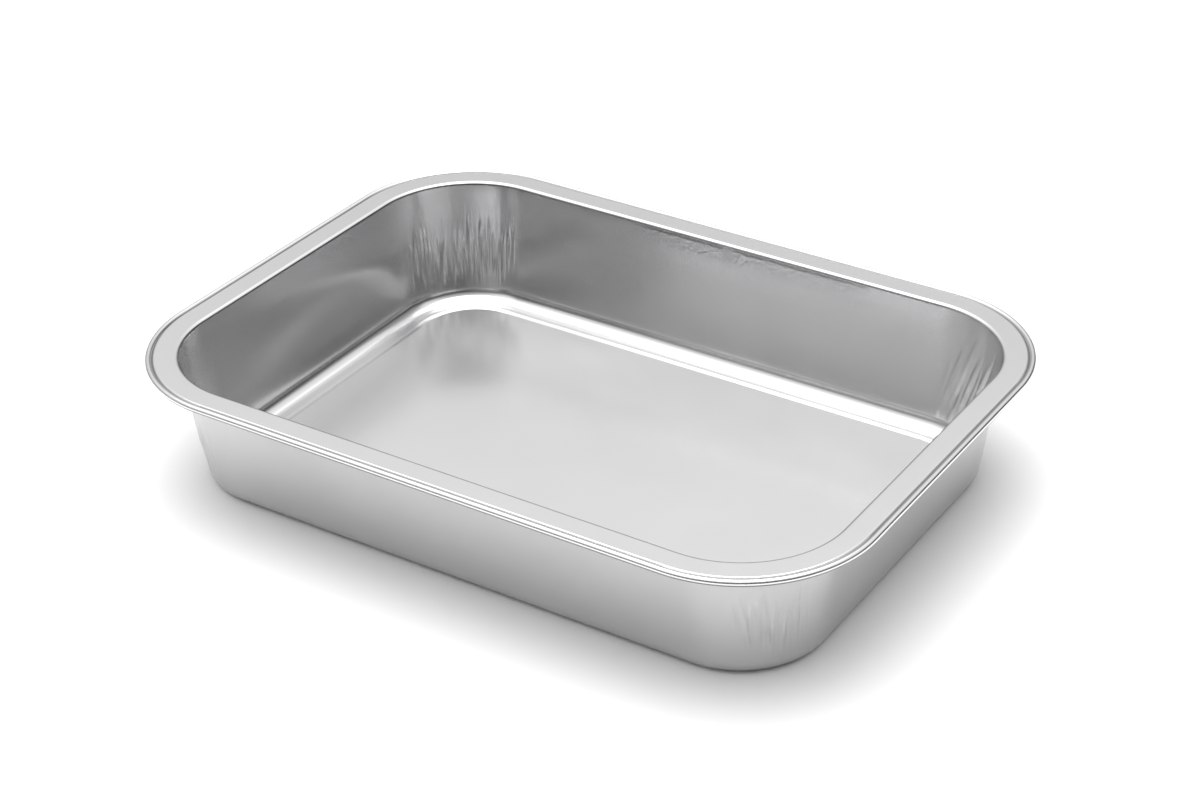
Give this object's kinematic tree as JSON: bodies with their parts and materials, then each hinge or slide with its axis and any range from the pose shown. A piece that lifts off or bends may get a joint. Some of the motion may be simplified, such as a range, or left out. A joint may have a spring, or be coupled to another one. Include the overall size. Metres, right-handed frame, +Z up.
{
  "type": "aluminium foil tray",
  "caption": "Rectangular smooth-walled foil food tray with rounded corners, a flat rolled rim, sloping walls and a stepped base.",
  "frame": {"origin": "middle of the tray on the surface that it stands on", "axes": "+X along the tray's length, +Y across its width, +Z up out of its open mouth"},
  "size_m": [0.22, 0.16, 0.0383],
  "materials": {
    "foil": "bright rolled foil, satin with soft reflections"
  },
  "bodies": {
    "root": {"tray": "foil"}
  },
  "joints": []
}
